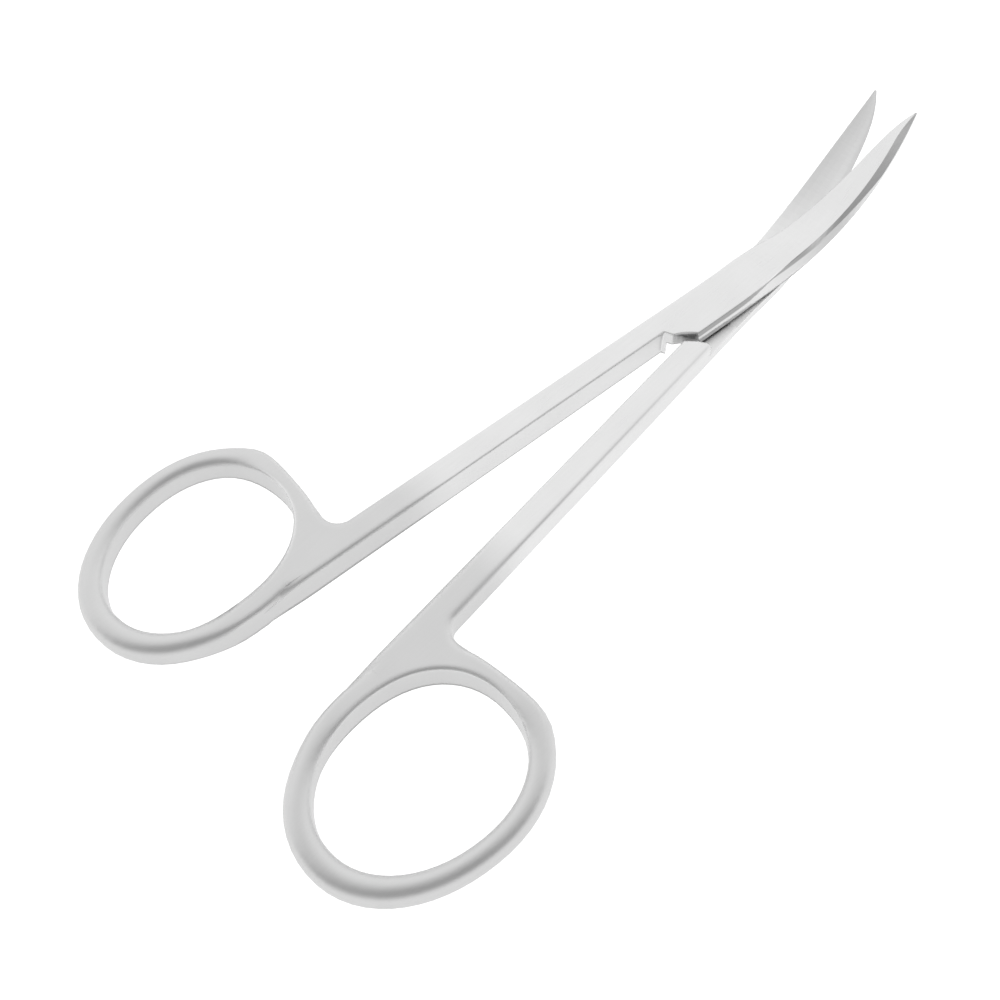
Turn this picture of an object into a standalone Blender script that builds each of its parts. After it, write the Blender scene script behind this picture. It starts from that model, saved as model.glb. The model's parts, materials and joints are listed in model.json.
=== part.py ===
"""Curved iris scissors: two forged halves that cross in a lap joint, and the screw they turn on.

Each half is modelled in its own frame, about the pivot axis, with its shank along Y.
The lower half is the upper half turned half round about the Y axis, apart from the blade,
because both blades bend the same way, up and away from the table.
"""
import math

import bmesh
import bpy
from mathutils import Matrix, Vector

MM = 0.001

# The whole tool
OPENING = math.radians(10.1)
STOCK = 3.95 * MM
LAP_GAP = 0.3 * MM
EDGE_SOFTNESS = 0.7 * MM

# Shank
SHANK_INNER = 0.825 * MM
SHANK_OUTER_AT_JOINT = 3.87 * MM
SHANK_OUTER_AT_RING = 4.15 * MM
TAIL_LENGTH = 12.0 * MM
TAIL_OUTER = 2.6 * MM
TAIL_HEIGHT = 3.2 * MM
TAIL_BEVEL = 0.8 * MM

# Finger ring
RING_TOP = -53.5 * MM
HOLE_LENGTH = 22.6 * MM
HOLE_WIDTH = 18.3 * MM
HOLE_SQUARENESS = 2.12
HOLE_LEAN = math.radians(-9.9)
HOLE_TAPER = 0.06
BAR_AT_JOINT = 1.75 * MM
BAR_AT_SHANK = 2.27 * MM
BAR_AT_SIDE = 2.45 * MM
BAR_AT_END = 2.95 * MM
BAR_HEIGHT = 3.66 * MM
BAR_SQUARENESS = 2.4
WALL_HEIGHT = 2.5 * MM
RING_CORNER = 1.2 * MM
RING_CENTER = (
    -(SHANK_INNER + BAR_AT_SHANK + HOLE_WIDTH / 2),
    RING_TOP - BAR_AT_JOINT - HOLE_LENGTH / 2,
)

# Web between ring and shank, from where it rises out of the bar to where it sinks again
WEB_RISE = (math.radians(-40.0), math.radians(0.0))
WEB_FALL = (math.radians(95.0), math.radians(135.0))
WEB_SQUARENESS = 7.0
WEB_REACH = 8.5 * MM
WEB_RUN_IN = 2.5 * MM
WEB_DIP = 0.3 * MM
WEB_FILLET = 2.2 * MM
WEB_BURIED = (math.radians(5.0), math.radians(75.0))

# Lap joint
JOINT_SPINE = 2.4 * MM
SHOULDER = (
    (-SHANK_INNER, -6.45 * MM),
    (0.3 * MM, -5.9 * MM),
    (0.77 * MM, -5.1 * MM),
    (1.54 * MM, -4.2 * MM),
    (JOINT_SPINE, -3.35 * MM),
)
LOWER_SHOULDER_DELAY = 1.6 * MM
STEP = ((-SHANK_INNER, -5.8 * MM), (-2.15 * MM, -4.8 * MM), (-3.4 * MM, -4.2 * MM))
LAP_START = -4.0 * MM
JOINT_END = 9.5 * MM
JOINT_BEVEL = 0.35 * MM
GRIND_STOCK = 0.25 * MM

# Blade
BLADE_LENGTH = 35.4 * MM
BEND_START = 10.7 * MM
BEND_ANGLE = math.radians(55.7)
BEND_RADIUS = (BLADE_LENGTH - BEND_START) / math.sin(BEND_ANGLE)
BLADE_BASE_EDGE = 4.15 * MM
BLADE_TIP_EDGE = 0.05 * MM
EDGE_TAPER = 2.5 * MM
EDGE_FULLNESS = 14.0
SPINE_BASE = 2.2 * MM
SPINE_TIP = 0.2 * MM
SPINE_FULLNESS = 5.8
TIP_THICKNESS = 0.45 * MM
THINNING = 1.2
BACK_BEVEL = 0.95 * MM
STRIP_X = 1.5 * MM
STRIP_SHARE = 0.67
EDGE_LAND = 0.06 * MM
BLADE_RELIEF = 0.03 * MM
HOLLOW = 0.1 * MM

# Stretches along the half over which a form changes, from the pivot toward the tip
WIDENING = (4.0 * MM, 14.0 * MM)
SPINE_RUN = (2.0 * MM, 12.0 * MM)
EDGE_FALL = (7.0 * MM, 18.5 * MM)
SOFTNESS_FALL = (5.0 * MM, 15.0 * MM)
BEVEL_GROWTH = (8.0 * MM, 15.5 * MM)
STRIP_LEAN = (5.0 * MM, 11.0 * MM)
GRIND_RUN = (2.0 * MM, 8.8 * MM)
HOLLOW_GROWTH = (10.0 * MM, 14.0 * MM)

# Screw
SCREW_DIAMETER = 2.2 * MM
HEAD_DIAMETER = 3.6 * MM
HEAD_RIM = 0.15 * MM
HEAD_DEPTH = 0.9 * MM
HEAD_SINK = 0.05 * MM
SCREW_FIT = 0.3 * MM
THREAD_REACH = 1.0 * MM
SLOT_WIDTH = 0.6 * MM
SLOT_DEPTH = 0.45 * MM

# A hair between faces that would almost meet, and the grid that flush faces keep to
SEAM = 0.02 * MM
GRID = 0.0001 * MM

# Fineness of the meshes
RING_STATIONS = 60
BAR_POINTS = 24
CORNER_POINTS = 4
HOLLOW_POINTS = 3
TAIL_STATIONS = 8
SHANK_STATIONS = 4
JOINT_STATIONS = 14
BEND_STATIONS = 24
FILLET_POINTS = 8
SCREW_SIDES = 32
SHARP_ANGLE = math.radians(28.0)

UPPER = 1
LOWER = -1


def clear_scene():
    for thing in list(bpy.data.objects):
        bpy.data.objects.remove(thing, do_unlink=True)


def smooth_step(value, start, end):
    t = min(max((value - start) / (end - start), 0.0), 1.0)
    return t * t * (3.0 - 2.0 * t)


def between(value, low, high, start, end):
    return low + (high - low) * smooth_step(value, start, end)


def steel(name, color, roughness):
    material = bpy.data.materials.new(name)
    material.use_nodes = True
    shader = material.node_tree.nodes["Principled BSDF"]
    shader.inputs["Base Color"].default_value = (*color, 1.0)
    shader.inputs["Metallic"].default_value = 1.0
    shader.inputs["Roughness"].default_value = roughness
    return material


def add_object(name, mesh, material=None):
    thing = bpy.data.objects.new(name, mesh)
    bpy.context.scene.collection.objects.link(thing)
    if material is not None:
        mesh.materials.append(material)
    return thing


def loft(name, loops, closed=False):
    """A closed skin over equal loops of points; open lofts get a flat cap at each end."""
    shape = bmesh.new()
    rows = [[shape.verts.new(point) for point in loop] for loop in loops]
    count = len(rows[0])
    pairs = list(zip(rows, rows[1:]))
    if closed:
        pairs.append((rows[-1], rows[0]))
    for low, high in pairs:
        for i in range(count):
            j = (i + 1) % count
            shape.faces.new((low[i], low[j], high[j], high[i]))
    if not closed:
        shape.faces.new(list(reversed(rows[0])))
        shape.faces.new(rows[-1])
    bmesh.ops.recalc_face_normals(shape, faces=shape.faces[:])
    shape.normal_update()
    # The exact solver needs flat faces, and a loft's four-sided ones are slightly twisted.
    bmesh.ops.triangulate(shape, faces=shape.faces[:])
    mesh = bpy.data.meshes.new(name)
    shape.to_mesh(mesh)
    shape.free()
    return mesh


def combine(target, tool, operation):
    """Join or cut a mesh by another with the exact solver, and bake the result."""
    first = add_object("work", target)
    second = add_object("tool", tool)
    modifier = first.modifiers.new("cut", "BOOLEAN")
    modifier.operation = operation
    modifier.solver = "EXACT"
    modifier.object = second
    view = bpy.context.evaluated_depsgraph_get()
    result = bpy.data.meshes.new_from_object(first.evaluated_get(view))
    bpy.data.objects.remove(first, do_unlink=True)
    bpy.data.objects.remove(second, do_unlink=True)
    return result


# The blade's lines, as functions of the distance y from the pivot toward the tip.


def share_along(y, start, end):
    return min(max((y - start) / (end - start), 0.0), 1.0)


def edge_x(y):
    """Cutting side: the shank's outer side, then the blade's edge down to the tip."""
    if y < 0.0:
        share = share_along(y, 0.0, RING_TOP)
        return -(SHANK_OUTER_AT_JOINT + (SHANK_OUTER_AT_RING - SHANK_OUTER_AT_JOINT) * share)
    base = between(y, SHANK_OUTER_AT_JOINT, BLADE_BASE_EDGE, *WIDENING)
    share = share_along(y, WIDENING[1], BLADE_LENGTH)
    full = base - BLADE_TIP_EDGE - EDGE_TAPER * share
    return -(BLADE_TIP_EDGE + full * (1.0 - share**EDGE_FULLNESS))


def spine_x(y):
    """Back of the blade, on its inner face."""
    base = between(y, JOINT_SPINE, SPINE_BASE, *SPINE_RUN)
    share = share_along(y, 0.0, BLADE_LENGTH)
    return SPINE_TIP + (base - SPINE_TIP) * (1.0 - share**SPINE_FULLNESS)


def shoulder_of(side):
    """The shoulder's points; the lower half's lies hidden under the upper half."""
    if side == UPPER:
        return SHOULDER
    return [(x, y + LOWER_SHOULDER_DELAY) for x, y in SHOULDER]


def inner_x(y, side):
    """Inner side of the shank, the shoulder of the lap, then the back of the blade."""
    shoulder = shoulder_of(side)
    if y <= shoulder[0][1]:
        return shoulder[0][0]
    for (x0, y0), (x1, y1) in zip(shoulder, shoulder[1:]):
        if y <= y1:
            return x0 + (x1 - x0) * (y - y0) / (y1 - y0)
    return spine_x(y)


def bevel_width(y, side):
    shoulder = shoulder_of(side)
    grown = smooth_step(y, shoulder[0][1], shoulder[-1][1])
    wide = between(y, JOINT_BEVEL, BACK_BEVEL, *BEVEL_GROWTH)
    room = spine_x(y) - edge_x(y)
    return grown * min(wide, 0.45 * room) + TAIL_BEVEL * tail_share(y)


def tail_share(y):
    """How far the shank has sunk into the ring's bar: 0 at its middle, 1 at its end."""
    return smooth_step(-y, TAIL_LENGTH / 2 - RING_TOP, TAIL_LENGTH - RING_TOP)


def shank_half_height(y):
    return (STOCK + (TAIL_HEIGHT - STOCK) * tail_share(y)) / 2


def ridge_height(y):
    share = share_along(y, JOINT_END, BLADE_LENGTH)
    return STOCK / 2 + (TIP_THICKNESS - STOCK / 2) * share**THINNING


def edge_height(y):
    """Height of the top face at the cutting side, down to a fine land along the edge."""
    low = LAP_GAP / 2 + BLADE_RELIEF + EDGE_LAND
    return between(y, STOCK / 2, low, *EDGE_FALL)


def face_level(y):
    """Level of the inner face: full depth, then the lap's cut, then the ground blade."""
    if y < LAP_START:
        return -shank_half_height(y)
    blade = LAP_GAP / 2 + BLADE_RELIEF
    return between(y, -GRIND_STOCK, blade, *GRIND_RUN)


def side_strip(y, side, bottom, top):
    """Corner between the back's bevel and its side: (lean inward, height)."""
    shoulder = shoulder_of(side)
    lean = max(inner_x(y, side) - STRIP_X, 0.0) * smooth_step(y, *STRIP_LEAN)
    blade = bottom + (top - bottom) * between(y, 0.5, STRIP_SHARE, *STRIP_LEAN)
    if y > shoulder[-1][1]:
        return lean, between(y, STOCK / 4, blade, STRIP_LEAN[0], JOINT_END)
    drop = STOCK / 4 * smooth_step(y, shoulder[0][1], shoulder[-1][1])
    drop += TAIL_BEVEL * tail_share(y)
    return 0.0, top - max(drop, SEAM)


def section(y, side):
    """Outline of the half across its length: (x, height above the shear plane)."""
    left = edge_x(y)
    if y < RING_TOP:
        left += (SHANK_OUTER_AT_RING - TAIL_OUTER) * smooth_step(RING_TOP - y, 0.0, 0.7 * TAIL_LENGTH)
    right = inner_x(y, side)
    top = min(ridge_height(y), shank_half_height(y))
    low_side = min(edge_height(y), shank_half_height(y))
    bottom = face_level(y)
    ridge = right - bevel_width(y, side)
    lean, strip = side_strip(y, side, bottom, top)
    wide = min(EDGE_SOFTNESS, 0.2 * (ridge - left))
    round_top = EDGE_SOFTNESS * (1.0 - smooth_step(y, *SOFTNESS_FALL))
    round_low = EDGE_SOFTNESS if y < LAP_START else 0.0
    slope = (top - low_side) / (ridge - left)
    turns = [math.pi / 2 * i / CORNER_POINTS for i in range(CORNER_POINTS + 1)]
    outline = []
    for turn in turns:
        along = wide * (1.0 - math.cos(turn))
        drop = round_top * (1.0 - math.sin(turn))
        outline.append((left + along, low_side + slope * along - drop))
    outline.append((ridge - SEAM, top))
    outline.append((right - lean, strip))
    outline.append((right, bottom))
    hollow = HOLLOW * smooth_step(y, *HOLLOW_GROWTH)
    hollow *= (right - left) / (BLADE_BASE_EDGE + SPINE_BASE)
    for i in range(1, HOLLOW_POINTS + 1):
        share = i / (HOLLOW_POINTS + 1)
        x = right + (left + wide - right) * share
        outline.append((x, bottom + hollow * 4.0 * share * (1.0 - share)))
    for turn in reversed(turns):
        along = wide * (1.0 - math.cos(turn))
        rise = round_low * (1.0 - math.sin(turn))
        outline.append((left + along, bottom + rise))
    return outline


def stations(side):
    """Places of the sections along the half, and by angle along the bend."""
    tail_end = RING_TOP - TAIL_LENGTH
    places = [tail_end + TAIL_LENGTH * i / TAIL_STATIONS for i in range(TAIL_STATIONS)]
    start = shoulder_of(side)[0][1]
    places += [RING_TOP + (start - RING_TOP) * i / SHANK_STATIONS for i in range(SHANK_STATIONS)]
    places += [start + (BEND_START - start) * i / JOINT_STATIONS for i in range(JOINT_STATIONS)]
    places += [y for _, y in shoulder_of(side)]
    places += [LAP_START - SEAM, LAP_START]
    kept = []
    for y in sorted(places):
        if not kept or y - kept[-1] > SEAM / 2:
            kept.append(y)
    steps = [(y, 0.0) for y in kept]
    for i in range(BEND_STATIONS + 1):
        turn = BEND_ANGLE * i / BEND_STATIONS
        steps.append((BEND_START + BEND_RADIUS * math.sin(turn), turn))
    return steps


def place(x, height, y, turn, side):
    """A section point in space; the lower half's section is turned half round.

    Points keep to a fine grid, so that faces meant to be flush lie in exactly one plane.
    """
    rise = BEND_RADIUS * (1.0 - math.cos(turn))
    along = y - side * height * math.sin(turn)
    up = STOCK / 2 + rise + side * height * math.cos(turn)
    return Vector([GRID * round(value / GRID) for value in (side * x, along, up)])


def bar_of_half(side):
    loops = []
    for y, turn in stations(side):
        loops.append([place(x, height, y, turn, side) for x, height in section(y, side)])
    return loft("bar", loops)


def hole_point(turn):
    """Point of the finger hole's outline; turn 0 is the end toward the joint."""
    power = 2.0 / HOLE_SQUARENESS
    c = math.cos(turn)
    s = math.sin(turn)
    y = HOLE_LENGTH / 2 * math.copysign(abs(c) ** power, c)
    x = HOLE_WIDTH / 2 * math.copysign(abs(s) ** power, s)
    x *= 1.0 + HOLE_TAPER * y / (HOLE_LENGTH / 2)
    lean_c = math.cos(HOLE_LEAN)
    lean_s = math.sin(HOLE_LEAN)
    return Vector((RING_CENTER[0] + x * lean_c + y * lean_s, RING_CENTER[1] - x * lean_s + y * lean_c))


def hole_normal(turn):
    ahead = hole_point(turn + 0.01)
    behind = hole_point(turn - 0.01)
    run = (ahead - behind).normalized()
    return Vector((-run.y, run.x))


def bar_width(turn):
    return BAR_AT_SIDE + (BAR_AT_END - BAR_AT_SIDE) * math.cos(turn) ** 2


def web_share(turn):
    """How much of the bar's section belongs to the flat web: 1 next to the shank."""
    turn = math.remainder(turn, 2.0 * math.pi)
    return smooth_step(turn, *WEB_RISE) * (1.0 - smooth_step(turn, *WEB_FALL))


def round_point(angle, width):
    """Point of the free bar: domed outside, flat and upright toward the finger."""
    power = 2.0 / BAR_SQUARENESS
    flat = (1.0 - (WALL_HEIGHT / BAR_HEIGHT) ** BAR_SQUARENESS) ** (1.0 / BAR_SQUARENESS)
    c = math.cos(angle)
    s = math.sin(angle)
    out = width * (flat + math.copysign(abs(c) ** power, c)) / (1.0 + flat)
    return max(out, 0.0), BAR_HEIGHT / 2 * math.copysign(abs(s) ** power, s)


def square_point(angle, width):
    """Point of the web's section: square toward the finger, softer outside."""
    c = math.cos(angle)
    s = math.sin(angle)
    half = STOCK / 2
    if c > 0.0:
        power = 2.0 / WEB_SQUARENESS
        return width / 2 * (1.0 + c**power), half * math.copysign(abs(s) ** power, s)
    longest = max(-c, abs(s))
    return width / 2 * (1.0 + c / longest), half * s / longest


def soft_limit(value, limit, softness):
    """The value kept under the limit, with a round transition."""
    share = min(max(0.5 + (limit - value) / (2.0 * softness), 0.0), 1.0)
    return limit + (value - limit) * share - softness * share * (1.0 - share)


def ring(side):
    """The ring's bar: its section swept round the hole, held to the shank's inner side."""
    loops = []
    for i in range(RING_STATIONS):
        turn = 2.0 * math.pi * (i + 0.5) / RING_STATIONS
        start = hole_point(turn)
        out = hole_normal(turn)
        width = bar_width(turn)
        share = web_share(turn)
        loop = []
        for k in range(BAR_POINTS):
            angle = 2.0 * math.pi * k / BAR_POINTS
            rounded = Vector(round_point(angle, width))
            square = Vector(square_point(angle, width))
            across, height = rounded.lerp(square, share)
            spot = start + out * across
            x = soft_limit(spot.x, -SHANK_INNER, SEAM)
            y = soft_limit(spot.y, RING_TOP - SEAM, RING_CORNER)
            loop.append(place(x, height, y, 0.0, side))
        loops.append(loop)
    return loft("ring", loops, closed=True)


def web_outline(inset):
    """The web's outline in plan, drawn in by the inset along its open side."""
    side_x = -SHANK_OUTER_AT_RING + SEAM
    top = RING_TOP - inset
    low = top - WEB_DIP
    run_in = side_x - WEB_REACH + WEB_RUN_IN
    outline = [Vector((side_x - WEB_REACH, low)), Vector((run_in, top))]
    for i in range(FILLET_POINTS + 1):
        angle = math.pi / 2 * i / FILLET_POINTS
        radius = WEB_FILLET + inset
        x = side_x - WEB_FILLET + radius * math.sin(angle)
        y = low + radius - radius * math.cos(angle)
        outline.append(Vector((x, y)))
    first, last = WEB_BURIED
    inner = -SHANK_INNER - EDGE_SOFTNESS
    outline.append(Vector((inner, low + WEB_FILLET + inset)))
    outline.append(Vector((inner, hole_point(last).y)))
    for i in range(CORNER_POINTS + 1):
        turn = last + (first - last) * i / CORNER_POINTS
        outline.append(hole_point(turn) + hole_normal(turn) * BAR_AT_JOINT / 4)
    return outline


def web(side):
    """Fills the corner between ring and shank, with a fillet on its open side."""
    half = STOCK / 2
    profile = []
    for i in range(CORNER_POINTS + 1):
        angle = math.pi / 2 * i / CORNER_POINTS
        drop = EDGE_SOFTNESS * (1.0 - math.sin(angle))
        profile.append((half - drop, EDGE_SOFTNESS * (1.0 - math.cos(angle))))
    levels = [(-height, inset) for height, inset in reversed(profile)] + profile
    loops = []
    for height, inset in levels:
        loops.append([place(spot.x, height, spot.y, 0.0, side) for spot in web_outline(inset)])
    return loft("web", loops)


def lap_cutter(side):
    """Takes the half's inner layer away beyond the step, down to the lap face."""
    reach = 2.0 * SHANK_OUTER_AT_JOINT
    first, second, last = [Vector(point) for point in STEP]
    start = first + (first - second) * 1.2
    end = JOINT_END + GRIND_STOCK
    outline = [start, second, last, Vector((-reach, last.y + SEAM))]
    outline += [Vector((-reach, end)), Vector((reach, end)), Vector((reach, start.y))]
    loops = []
    for height in (-STOCK, LAP_GAP / 2):
        loops.append([place(spot.x, height, spot.y, 0.0, side) for spot in outline])
    return loft("lap", loops)


def turned(name, profile):
    """A round solid about the pivot axis, from (radius, z) points, bottom to top."""
    loops = []
    for radius, z in profile:
        loop = []
        for i in range(SCREW_SIDES):
            angle = 2.0 * math.pi * (i + 0.5) / SCREW_SIDES
            loop.append(Vector((radius * math.cos(angle), radius * math.sin(angle), z)))
        loops.append(loop)
    return loft(name, loops)


def screw_profile(fit, bottom, top):
    """The screw's outline, or with a fit its hole's; head at the bottom."""
    head = HEAD_DIAMETER / 2 + fit
    stem = SCREW_DIAMETER / 2 + fit
    rim = HEAD_SINK + HEAD_RIM + fit
    return [(head, bottom), (head, rim), (stem, rim + HEAD_DEPTH - HEAD_RIM), (stem, top)]


def screw_mesh():
    reach = STOCK / 2 + LAP_GAP / 2 + THREAD_REACH
    profile = screw_profile(0.0, HEAD_SINK, reach - 0.15 * MM)
    profile.append((SCREW_DIAMETER / 2 - 0.2 * MM, reach))
    body = turned("screw", profile)
    half_slot = SLOT_WIDTH / 2
    long = HEAD_DIAMETER
    low = HEAD_SINK + SLOT_DEPTH
    loops = []
    for z in (-STOCK, low):
        corners = ((-long, -half_slot), (long, -half_slot), (long, half_slot), (-long, half_slot))
        loops.append([Vector((x, y, z)) for x, y in corners])
    return combine(body, loft("slot", loops), "DIFFERENCE")


def half_mesh(side):
    body = combine(bar_of_half(side), lap_cutter(side), "DIFFERENCE")
    if side == LOWER:
        hole = screw_profile(SCREW_FIT, -STOCK, STOCK)
    else:
        top = STOCK / 2 + LAP_GAP / 2 + THREAD_REACH + SCREW_FIT
        hole = [(SCREW_DIAMETER / 2 + SCREW_FIT, STOCK / 4), (SCREW_DIAMETER / 2 + SCREW_FIT, top)]
    body = combine(body, turned("bore", hole), "DIFFERENCE")
    body = combine(body, web(side), "UNION")
    return combine(body, ring(side), "UNION")


def finish(name, mesh, material, parent):
    mesh.name = name
    thing = add_object(name, mesh, material)
    mesh.shade_smooth()
    mesh.set_sharp_from_angle(angle=SHARP_ANGLE)
    thing.parent = parent
    return thing


def pivot(name, turn):
    empty = bpy.data.objects.new(name, None)
    empty.rotation_euler = (0.0, 0.0, turn)
    bpy.context.scene.collection.objects.link(empty)
    return empty


def main():
    clear_scene()
    satin = steel("satin_steel", (0.66, 0.67, 0.68), 0.28)
    screw_steel = steel("screw_steel", (0.56, 0.57, 0.58), 0.32)
    upper_pivot = pivot("upper_pivot", -OPENING / 2)
    lower_pivot = pivot("lower_pivot", OPENING / 2)
    upper = finish("upper_half", half_mesh(UPPER), satin, upper_pivot)
    lower = finish("lower_half", half_mesh(LOWER), satin, lower_pivot)
    screw = finish("pivot_screw", screw_mesh(), screw_steel, upper_pivot)
    bpy.context.view_layer.update()
    # The origin is the middle of the tool's footprint.
    corners = []
    for thing in (upper, lower, screw):
        corners += [thing.matrix_world @ vertex.co for vertex in thing.data.vertices]
    low = Vector([min(corner[i] for corner in corners) for i in range(3)])
    high = Vector([max(corner[i] for corner in corners) for i in range(3)])
    shift = Vector(((low.x + high.x) / 2, (low.y + high.y) / 2, low.z))
    for empty in (upper_pivot, lower_pivot):
        empty.location = -shift
    bpy.context.view_layer.update()


main()
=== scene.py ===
"""The looks of the curved iris scissors: satin steel under the soft light of a white tent."""
from __future__ import annotations

import json
import logging
import math
from dataclasses import dataclass, field
from enum import Enum

import bpy
from mathutils import Matrix, Vector

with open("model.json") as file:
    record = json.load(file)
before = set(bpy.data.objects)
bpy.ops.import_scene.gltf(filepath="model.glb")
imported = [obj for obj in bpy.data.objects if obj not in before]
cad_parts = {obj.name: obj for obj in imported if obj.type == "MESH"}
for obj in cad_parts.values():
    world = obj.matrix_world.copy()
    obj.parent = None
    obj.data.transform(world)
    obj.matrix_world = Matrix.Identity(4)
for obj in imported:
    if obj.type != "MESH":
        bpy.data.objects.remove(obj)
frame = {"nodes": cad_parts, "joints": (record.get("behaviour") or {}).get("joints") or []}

MM = 0.001
LOG = logging.getLogger("scissors")
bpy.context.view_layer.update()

Rgb = tuple[float, float, float]
Xyz = tuple[float, float, float]
Span = tuple[float, float]

# Where along the tool the rings begin, toward the back, and the blades, toward the tips
RING_ZONE: Span = (-17.0 * MM, -25.0 * MM)
BLADE_ZONE: Span = (35.0 * MM, 40.0 * MM)

# Scratches and smudges
SCRATCH_DETAIL = 3.0
SCRATCH_BREAKUP = 0.65
SCRATCH_DEPTH = 0.02 * MM
SCRATCH_SPREAD = 0.12
SCRATCH_LIGHT = 0.1
SMUDGE_SCALE = 0.16 / MM
SMUDGE_DETAIL = 2.0
STEEP: Span = (0.55, 0.35)

# Worn edges, and painted shade where rounded edges turn under
ROUNDING_SAMPLES = 8
EDGE_LIKENESS: Span = (0.995, 0.88)
EDGE_ROUGHNESS = 0.6
EDGE_LIGHT = 0.1
# Painted shade: upright faces darken where the rounded normal turns down toward the floor
UNDER_TILT: Span = (-0.15, -0.5)
UPRIGHT_TILT: Span = (-0.6, -0.4)
UNDER_SHADE = 0.45

# The rings: rougher, and painted darker in place of their darker reflections
RING_PAINTED_SHADE = 0.89
RING_SPREAD = 0.13

# Painted shade: a darker band below the ridge, in place of the chamfer's dark reflection
BAND_WIDTH = 0.62 * MM
BAND_SOFTNESS = 0.15
BAND_OUTWARD: Span = (0.35, 0.6)
BAND_START: Span = (17.6 * MM, 18.6 * MM)
BAND_END: Span = (37.5 * MM, 42.5 * MM)
BAND_PAINTED_SHADE = 0.5

# The ground inner face of a blade
GROUND_START = 2.0 * MM
GROUND_FACING = 0.35

# How strongly a large face keeps its own normal
FACE_WEIGHT = 80


class Grain(Enum):
    """The way the last scratches of a finish run: how far they stretch along X, Y and Z."""

    ALONG = (5.0 / MM, 0.22 / MM, 5.0 / MM)
    ACROSS = (0.7 / MM, 9.0 / MM, 9.0 / MM)
    TURNED = (0.3 / MM, 0.3 / MM, 6.0 / MM)


@dataclass(frozen=True)
class Half:
    """Which way a half faces, and the ridge line of its joint and blade root.

    The ridge runs level at the height given, and rises past its start with the square of the way.
    """

    side: float
    height: float
    start: float
    curve: float


UPPER = Half(side=1.0, height=3.93 * MM, start=33.5 * MM, curve=15.2)
LOWER = Half(side=-1.0, height=0.04 * MM, start=31.9 * MM, curve=18.5)


@dataclass(frozen=True)
class SteelFinish:
    """One finish of the tool's stainless steel, with its rounded edges on each stretch."""

    color: Rgb
    roughness: float
    grain: Grain
    grain_depth: float
    uneven: float
    edge_radius: float = 0.12 * MM
    ring_radius: float = 0.12 * MM
    blade_radius: float = 0.08 * MM


SATIN = SteelFinish(
    color=(0.67, 0.67, 0.67),
    roughness=0.27,
    grain=Grain.ALONG,
    grain_depth=0.05,
    uneven=0.05,
    edge_radius=0.45 * MM,
    ring_radius=1.0 * MM,
)
GROUND = SteelFinish(
    color=(0.82, 0.82, 0.82),
    roughness=0.5,
    grain=Grain.ACROSS,
    grain_depth=0.09,
    uneven=0.04,
)
TURNED = SteelFinish(
    color=(0.56, 0.565, 0.57),
    roughness=0.32,
    grain=Grain.TURNED,
    grain_depth=0.1,
    uneven=0.05,
    edge_radius=0.06 * MM,
    ring_radius=0.06 * MM,
)


@dataclass
class Graph:
    """Short ways to build a node tree."""

    tree: bpy.types.NodeTree

    def node(self, kind: str, **settings: object) -> bpy.types.Node:
        """Adds a node.

        Args:
            kind: The node's type, without its ShaderNode prefix.
            settings: Attributes of the node to set.

        Returns:
            The new node.
        """
        made = self.tree.nodes.new("ShaderNode" + kind)
        for name, value in settings.items():
            setattr(made, name, value)
        return made

    def feed(self, target: bpy.types.NodeSocket, source: object) -> None:
        """Links a socket into another, or sets the other's own value.

        Args:
            target: The input socket.
            source: An output socket, or a plain value.
        """
        if isinstance(source, bpy.types.NodeSocket):
            self.tree.links.new(source, target)
        else:
            target.default_value = source

    def math(self, operation: str, *values: object) -> bpy.types.NodeSocket:
        """Adds a math node.

        Args:
            operation: The operation's name.
            values: Sockets or numbers for its inputs.

        Returns:
            Its output socket.
        """
        made = self.node("Math", operation=operation)
        for target, value in zip(made.inputs, values):
            self.feed(target, value)
        return made.outputs[0]

    def vector(self, operation: str, *values: object) -> bpy.types.Node:
        """Adds a vector math node.

        Args:
            operation: The operation's name.
            values: Sockets or vectors for its inputs.

        Returns:
            The node.
        """
        made = self.node("VectorMath", operation=operation)
        for target, value in zip(made.inputs, values):
            self.feed(target, value)
        return made

    def parts(self, vector: bpy.types.NodeSocket) -> bpy.types.NodeOutputs:
        """Takes a vector apart.

        Args:
            vector: The vector's socket.

        Returns:
            The sockets of its X, Y and Z.
        """
        made = self.node("SeparateXYZ")
        self.feed(made.inputs[0], vector)
        return made.outputs

    def ramp(self, value: object, span: Span, low: object, high: object) -> bpy.types.NodeSocket:
        """Maps a value smoothly from one range to another.

        Args:
            value: The socket to map.
            span: The values that give low and high.
            low: The result at the span's first value.
            high: The result at the span's second value.

        Returns:
            The mapped value's socket.
        """
        made = self.node("MapRange", interpolation_type="SMOOTHSTEP")
        for target, number in zip(made.inputs, (value, *span, low, high)):
            self.feed(target, number)
        return made.outputs[0]

    def mix(self, share: object, first: object, second: object) -> bpy.types.NodeSocket:
        """Mixes two numbers.

        Args:
            share: How much of the second, from 0 to 1.
            first: The first number or socket.
            second: The second number or socket.

        Returns:
            The mixed value's socket.
        """
        made = self.node("Mix", data_type="FLOAT")
        for target, value in zip(made.inputs[:1] + made.inputs[2:4], (share, first, second)):
            self.feed(target, value)
        return made.outputs[0]

    def blend(self, share: object, first: bpy.types.Node, second: bpy.types.Node) -> bpy.types.Node:
        """Mixes two shaders.

        Args:
            share: How much of the second, from 0 to 1.
            first: The first shader's node.
            second: The second shader's node.

        Returns:
            The mixing node.
        """
        made = self.node("MixShader")
        for target, value in zip(made.inputs, (share, first.outputs[0], second.outputs[0])):
            self.feed(target, value)
        return made


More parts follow.
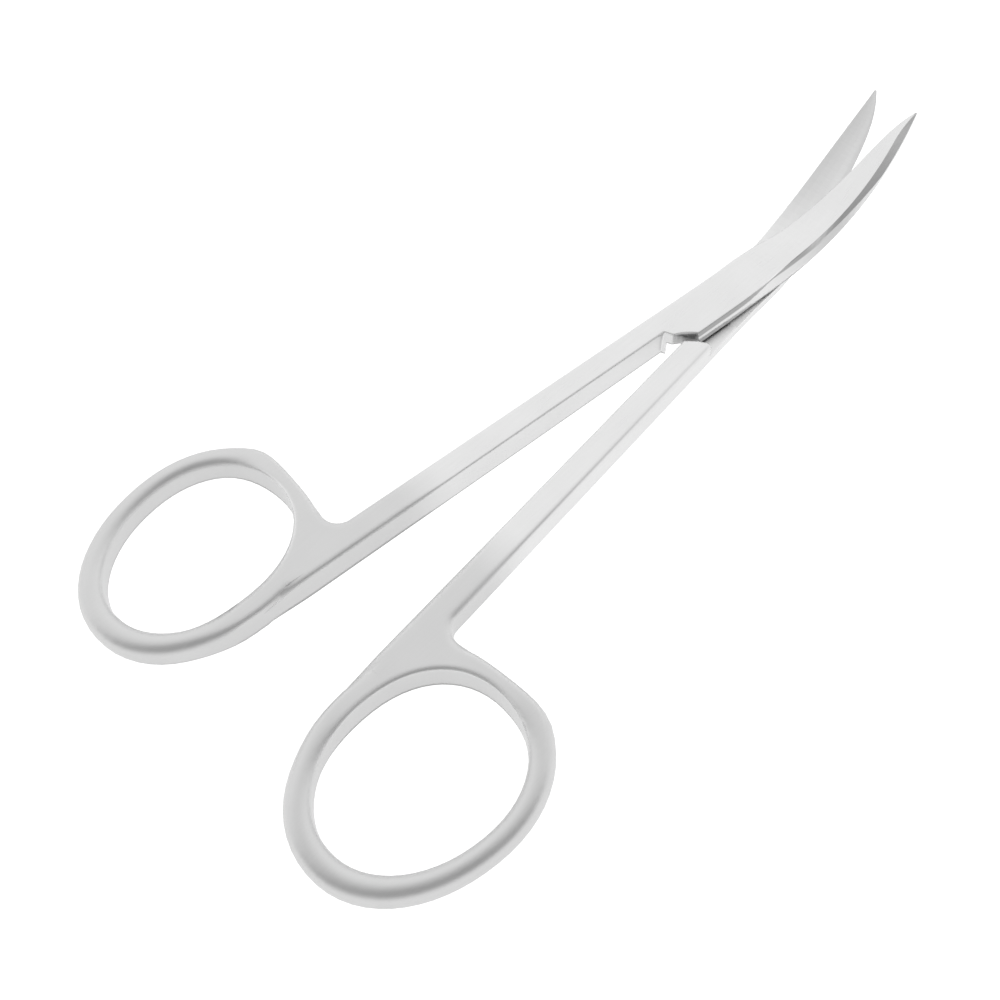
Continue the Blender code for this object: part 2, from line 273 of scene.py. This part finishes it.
@dataclass
class Effect:
    """A shader node group that several materials share."""

    name: str
    inputs: dict[str, str] = field(default_factory=dict)
    outputs: dict[str, str] = field(default_factory=dict)

    def start(self) -> tuple[Graph, bpy.types.Node, bpy.types.Node]:
        """Makes the empty group with its sockets.

        Returns:
            The group's graph, its input node and its output node.
        """
        tree = bpy.data.node_groups.new(self.name, "ShaderNodeTree")
        for way, sockets in (("INPUT", self.inputs), ("OUTPUT", self.outputs)):
            for name, kind in sockets.items():
                tree.interface.new_socket(name, in_out=way, socket_type="NodeSocket" + kind)
        return Graph(tree), tree.nodes.new("NodeGroupInput"), tree.nodes.new("NodeGroupOutput")


def grain_effect() -> bpy.types.NodeTree:
    """Fine scratches that run one way, with broad faint smudges between them.

    Height counts only on steep faces, so that scratches along a blade don't cross its rising top.

    Returns:
        The node group.
    """
    outputs = {"Scratches": "Float", "Smudges": "Float"}
    graph, given, result = Effect("steel_grain", {"Stretch": "Vector"}, outputs).start()
    place = graph.node("TexCoord").outputs["Object"]
    normal = graph.parts(graph.node("NewGeometry").outputs["True Normal"])
    steep = graph.ramp(graph.math("ABSOLUTE", normal["Z"]), STEEP, 0.0, 1.0)
    kept = graph.node("CombineXYZ")
    for target, value in zip(kept.inputs, (1.0, 1.0, steep)):
        graph.feed(target, value)
    stretched = graph.vector("MULTIPLY", place, given.outputs["Stretch"]).outputs[0]
    stretched = graph.vector("MULTIPLY", stretched, kept.outputs[0]).outputs[0]
    fine = graph.node("TexNoise")
    graph.feed(fine.inputs["Vector"], stretched)
    graph.feed(fine.inputs["Scale"], 1.0)
    graph.feed(fine.inputs["Detail"], SCRATCH_DETAIL)
    graph.feed(fine.inputs["Roughness"], SCRATCH_BREAKUP)
    broad = graph.node("TexNoise")
    graph.feed(broad.inputs["Vector"], place)
    graph.feed(broad.inputs["Scale"], SMUDGE_SCALE)
    graph.feed(broad.inputs["Detail"], SMUDGE_DETAIL)
    graph.feed(result.inputs["Scratches"], fine.outputs["Fac"])
    graph.feed(result.inputs["Smudges"], broad.outputs["Fac"])
    return graph.tree


def edge_effect() -> bpy.types.NodeTree:
    """Edges that tumbling has rounded a little, where they are, and painted shade where they turn
    under.

    Returns:
        The node group.
    """
    outputs = {"Normal": "Vector", "Edge": "Float", "Under": "Float"}
    graph, given, result = Effect("worn_edge", {"Radius": "Float"}, outputs).start()
    bevel = graph.node("Bevel", samples=ROUNDING_SAMPLES)
    graph.feed(bevel.inputs["Radius"], given.outputs["Radius"])
    rounded = bevel.outputs["Normal"]
    plain = graph.node("NewGeometry").outputs["Normal"]
    alike = graph.vector("DOT_PRODUCT", rounded, plain).outputs["Value"]
    # Painted shade mask: the rounded normal turns down on an upright face
    down = graph.ramp(graph.parts(rounded)["Z"], UNDER_TILT, 0.0, 1.0)
    upright = graph.ramp(graph.parts(plain)["Z"], UPRIGHT_TILT, 0.0, 1.0)
    graph.feed(result.inputs["Normal"], rounded)
    graph.feed(result.inputs["Edge"], graph.ramp(alike, EDGE_LIKENESS, 0.0, 1.0))
    graph.feed(result.inputs["Under"], graph.math("MULTIPLY", down, upright))
    return graph.tree


def painted_band_effect() -> bpy.types.NodeTree:
    """Painted shade: a darker band below the ridge, on the outer side of the joint and of the
    blade's root, in place of the chamfer's dark reflection.

    Returns:
        The node group.
    """
    inputs = {"Side": "Float", "Height": "Float", "Start": "Float", "Curve": "Float"}
    graph, given, result = Effect("polished_bevel", inputs, {"Mask": "Float"}).start()
    normal = graph.parts(graph.node("NewGeometry").outputs["True Normal"])
    place = graph.parts(graph.node("TexCoord").outputs["Object"])
    side = given.outputs["Side"]
    past = graph.math("SUBTRACT", place["Y"], given.outputs["Start"])
    past = graph.math("MAXIMUM", past, 0.0)
    rise = graph.math("MULTIPLY", graph.math("MULTIPLY", past, past), given.outputs["Curve"])
    ridge = graph.math("ADD", rise, given.outputs["Height"])
    below = graph.math("MULTIPLY", graph.math("SUBTRACT", ridge, place["Z"]), side)
    outward = graph.math("MULTIPLY", normal["X"], side)
    border = ((1.0 + BAND_SOFTNESS) * BAND_WIDTH, (1.0 - BAND_SOFTNESS) * BAND_WIDTH)
    mask = graph.ramp(below, border, 0.0, 1.0)
    mask = graph.math("MULTIPLY", mask, graph.ramp(outward, BAND_OUTWARD, 0.0, 1.0))
    mask = graph.math("MULTIPLY", mask, graph.ramp(place["Y"], BAND_START, 0.0, 1.0))
    mask = graph.math("MULTIPLY", mask, graph.ramp(place["Y"], BAND_END, 1.0, 0.0))
    graph.feed(result.inputs["Mask"], mask)
    return graph.tree


@dataclass
class SteelShop:
    """Makes the steel materials from the shared effects."""

    grain: bpy.types.NodeTree
    edge: bpy.types.NodeTree
    bevel: bpy.types.NodeTree

    def surface(self, graph: Graph, finish: SteelFinish, half: Half | None) -> bpy.types.Node:
        """Builds one finish's shader.

        Args:
            graph: The material's graph.
            finish: The finish.
            half: The half that it is for, or nothing for the screw.

        Returns:
            The metal shader node.
        """
        grain = graph.node("Group", node_tree=self.grain)
        graph.feed(grain.inputs["Stretch"], finish.grain.value)
        scratches = grain.outputs["Scratches"]
        smudges = grain.outputs["Smudges"]
        along = graph.parts(graph.node("TexCoord").outputs["Object"])["Y"]
        ring = graph.ramp(along, RING_ZONE, 0.0, 1.0)
        blade = graph.ramp(along, BLADE_ZONE, 0.0, 1.0)
        edge = graph.node("Group", node_tree=self.edge)
        radius = graph.mix(ring, finish.edge_radius, finish.ring_radius)
        graph.feed(edge.inputs["Radius"], graph.mix(blade, radius, finish.blade_radius))
        worn = edge.outputs["Edge"]
        # Painted shade where edges turn under, left off the blades
        painted_shade = graph.math("MULTIPLY", edge.outputs["Under"], graph.math("SUBTRACT", 1.0, blade))

        shader = graph.node("BsdfPrincipled")
        shader.inputs["Metallic"].default_value = 1.0
        smooth = finish.roughness - SCRATCH_SPREAD / 2
        spread = graph.math("MULTIPLY_ADD", scratches, SCRATCH_SPREAD, smooth)
        spread = graph.math("MULTIPLY_ADD", smudges, finish.uneven, spread)
        spread = graph.math("MULTIPLY_ADD", ring, RING_SPREAD, spread)
        spread = graph.mix(worn, spread, finish.roughness * EDGE_ROUGHNESS)
        graph.feed(shader.inputs["Roughness"], spread)

        light = graph.math("MULTIPLY_ADD", smudges, 2.0 * finish.uneven, 1.0 - finish.uneven)
        light = graph.math("SUBTRACT", light, SCRATCH_LIGHT / 2)
        light = graph.math("MULTIPLY_ADD", scratches, SCRATCH_LIGHT, light)
        light = graph.math("MULTIPLY_ADD", worn, EDGE_LIGHT, light)
        # Painted shade: the rings' colour is darkened
        light = graph.math("MULTIPLY", light, graph.mix(ring, 1.0, RING_PAINTED_SHADE))
        # Painted shade: the band below the ridge is darkened
        if half:
            painted_band = graph.node("Group", node_tree=self.bevel)
            for name in ("Side", "Height", "Start", "Curve"):
                graph.feed(painted_band.inputs[name], getattr(half, name.lower()))
            band_shade = graph.mix(painted_band.outputs["Mask"], 1.0, BAND_PAINTED_SHADE)
            light = graph.math("MULTIPLY", light, band_shade)
        # Painted shade: the colour darkens where rounded edges turn under
        light = graph.math("MULTIPLY", light, graph.mix(painted_shade, 1.0, UNDER_SHADE))
        tint = graph.node("VectorMath", operation="SCALE")
        graph.feed(tint.inputs[0], finish.color)
        graph.feed(tint.inputs["Scale"], light)
        graph.feed(shader.inputs["Base Color"], tint.outputs[0])

        bump = graph.node("Bump")
        graph.feed(bump.inputs["Strength"], finish.grain_depth)
        graph.feed(bump.inputs["Distance"], SCRATCH_DEPTH)
        graph.feed(bump.inputs["Height"], scratches)
        graph.feed(bump.inputs["Normal"], edge.outputs["Normal"])
        graph.feed(shader.inputs["Normal"], bump.outputs["Normal"])
        return shader

    def ground_mask(self, graph: Graph, side: float) -> bpy.types.NodeSocket:
        """Finds the blade's inner face by where it is and which way it looks.

        Args:
            graph: The material's graph.
            side: 1 for the upper half, whose inner face looks down, or -1 for the lower half.

        Returns:
            A socket that is 1 on the inner face.
        """
        pivot = frame["joints"][0]["pos_m"]
        normal = graph.parts(graph.node("NewGeometry").outputs["True Normal"])
        place = graph.parts(graph.node("TexCoord").outputs["Object"])
        along = graph.math("GREATER_THAN", place["Y"], pivot[1] + GROUND_START)
        inward = graph.math("MULTIPLY", normal["Z"], -side)
        return graph.math("MULTIPLY", along, graph.math("GREATER_THAN", inward, GROUND_FACING))

    def material(self, name: str, finish: SteelFinish, half: Half | None) -> bpy.types.Material:
        """Makes a material; a half's blade has its ground inner face.

        Args:
            name: The material's name.
            finish: The finish of the whole piece.
            half: The half that it is for, or nothing for the screw.

        Returns:
            The material.
        """
        made = bpy.data.materials.new(name)
        made.use_nodes = True
        made.node_tree.nodes.clear()
        graph = Graph(made.node_tree)
        result = self.surface(graph, finish, half)
        if half:
            mask = self.ground_mask(graph, half.side)
            result = graph.blend(mask, result, self.surface(graph, GROUND, half))
        graph.feed(graph.node("OutputMaterial").inputs["Surface"], result.outputs[0])
        return made


@dataclass(frozen=True)
class Piece:
    """A CAD node, which keeps its shape and gets its finish."""

    node: str
    material: str
    finish: SteelFinish
    half: Half | None = None

    def dress(self, shop: SteelShop) -> None:
        """Gives the node its material, and its large faces even shading.

        Args:
            shop: The maker of the material.
        """
        piece = frame["nodes"][self.node]
        piece.data.materials.clear()
        piece.data.materials.append(shop.material(self.material, self.finish, self.half))
        weighted = piece.modifiers.new("even_shading", "WEIGHTED_NORMAL")
        weighted.keep_sharp = True
        weighted.weight = FACE_WEIGHT
        LOG.info("%s: %d faces", self.node, len(piece.data.polygons))


PIECES = (
    Piece("upper_half", "upper_steel", SATIN, UPPER),
    Piece("lower_half", "lower_steel", SATIN, LOWER),
    Piece("pivot_screw", "screw_steel", TURNED),
)


@dataclass
class PhotoCamera:
    """The photograph's viewpoint, given from the pivot axis."""

    azimuth: float = math.radians(-43.1103)
    elevation: float = math.radians(57.6731)
    roll: float = math.radians(-1.9023)
    lens: float = 41.903
    sensor: float = 36.0
    place: Xyz = (52.566 * MM, -85.367 * MM, 114.131 * MM)
    clip_start: float = 10.0 * MM
    clip_end: float = 10.0

    def toward(self) -> Vector:
        """Gives the direction from the tool to the camera.

        Returns:
            A unit vector.
        """
        flat = math.cos(self.elevation)
        east, north = flat * math.cos(self.azimuth), flat * math.sin(self.azimuth)
        return Vector((east, north, math.sin(self.elevation)))

    def build(self, pivot: Vector) -> bpy.types.Object:
        """Puts the camera where the photograph was taken from.

        Args:
            pivot: The hinge's place in the row frame.

        Returns:
            The camera object.
        """
        data = bpy.data.cameras.new("photo_camera")
        data.lens = self.lens
        data.sensor_width = self.sensor
        data.clip_start = self.clip_start
        data.clip_end = self.clip_end
        camera = bpy.data.objects.new("photo_camera", data)
        bpy.context.scene.collection.objects.link(camera)
        back = self.toward()
        right = Vector((0.0, 0.0, 1.0)).cross(back).normalized()
        up = back.cross(right)
        turned = Matrix((right, up, back)).transposed() @ Matrix.Rotation(self.roll, 3, "Z")
        base = Vector((pivot.x, pivot.y, 0.0)) + Vector(self.place)
        camera.matrix_world = Matrix.Translation(base) @ turned.to_4x4()
        bpy.context.scene.camera = camera
        return camera


@dataclass(frozen=True)
class DarkPlace:
    """A darker place in the tent's wall: its direction, its light, its core and its reach."""

    toward: Xyz
    light: float
    core: float
    reach: float


SIDE_GAP = DarkPlace((0.72, 0.1, 0.69), 0.42, math.radians(16.0), math.radians(38.0))
LOW_GAP = DarkPlace((-0.1, -0.85, 0.5), 0.55, math.radians(12.0), math.radians(29.0))


@dataclass
class Tent:
    """A white light tent: pale floor, even sky, and the darker opening the camera looks through."""

    opening_toward: Vector
    opening_light: float = 0.48
    opening_core: float = math.radians(24.0)
    opening_reach: float = math.radians(55.0)
    gaps: tuple[DarkPlace, ...] = (SIDE_GAP, LOW_GAP)
    sky: float = 1.2
    sky_color: Rgb = (1.0, 1.0, 1.0)
    floor_size: float = 3.0
    floor_drop: float = 0.02 * MM
    floor_color: Rgb = (0.92, 0.92, 0.92)
    floor_roughness: float = 0.9
    floor_glow: float = 1.4
    glow_share: float = 0.75

    def floor_material(self) -> bpy.types.Material:
        """Makes the floor's material: white where it is seen, clear from below.

        Returns:
            The material.
        """
        material = bpy.data.materials.new("floor_white")
        material.use_nodes = True
        material.node_tree.nodes.clear()
        graph = Graph(material.node_tree)
        plain = graph.node("BsdfPrincipled")
        plain.inputs["Base Color"].default_value = (*self.floor_color, 1.0)
        plain.inputs["Roughness"].default_value = self.floor_roughness
        plain.inputs["Specular IOR Level"].default_value = 0.0
        glow = graph.node("Emission")
        glow.inputs["Strength"].default_value = self.floor_glow
        rays = graph.node("LightPath").outputs
        seen = graph.math("MAXIMUM", rays["Is Camera Ray"], rays["Is Glossy Ray"])
        seen = graph.math("MAXIMUM", seen, rays["Is Transmission Ray"])
        white = graph.blend(graph.math("MULTIPLY", seen, self.glow_share), plain, glow)
        below = graph.node("NewGeometry").outputs["Backfacing"]
        clear = graph.blend(below, white, graph.node("BsdfTransparent"))
        graph.feed(graph.node("OutputMaterial").inputs["Surface"], clear.outputs[0])
        return material

    def floor(self) -> None:
        """Makes the floor: white to the camera and in reflections, plain where a shadow falls."""
        half = self.floor_size / 2
        mesh = bpy.data.meshes.new("floor")
        corners = [(-half, -half, 0.0), (half, -half, 0.0), (half, half, 0.0), (-half, half, 0.0)]
        mesh.from_pydata(corners, [], [(0, 1, 2, 3)])
        floor = bpy.data.objects.new("floor", mesh)
        floor.location.z = -self.floor_drop
        bpy.context.scene.collection.objects.link(floor)
        mesh.materials.append(self.floor_material())

    def world(self) -> None:
        """Makes the sky: even and bright, darker round the camera's opening and at the gaps."""
        world = bpy.data.worlds.new("tent")
        bpy.context.scene.world = world
        world.use_nodes = True
        graph = Graph(world.node_tree)
        way = graph.node("TexCoord").outputs["Generated"]
        opening = DarkPlace(
            tuple(self.opening_toward), self.opening_light, self.opening_core, self.opening_reach
        )
        level = self.sky
        for place in (opening, *self.gaps):
            toward = tuple(Vector(place.toward).normalized())
            near = graph.vector("DOT_PRODUCT", way, toward).outputs["Value"]
            span = (math.cos(place.reach), math.cos(place.core))
            level = graph.math("MINIMUM", level, graph.ramp(near, span, self.sky, place.light))
        sky = world.node_tree.nodes["Background"]
        graph.feed(sky.inputs["Strength"], level)
        sky.inputs["Color"].default_value = (*self.sky_color, 1.0)

    def build(self) -> None:
        """Builds the floor and the sky."""
        self.floor()
        self.world()
        bpy.context.scene.view_settings.view_transform = "Standard"
        LOG.info("tent: floor %.1f m across", self.floor_size)


def main() -> None:
    """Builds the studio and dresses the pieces."""
    logging.basicConfig(level=logging.INFO, format="%(name)s: %(message)s")
    viewpoint = PhotoCamera()
    viewpoint.build(Vector(frame["joints"][0]["pos_m"]))
    Tent(viewpoint.toward()).build()
    shop = SteelShop(grain_effect(), edge_effect(), painted_band_effect())
    for piece in PIECES:
        piece.dress(shop)


if __name__ == "__main__":
    main()
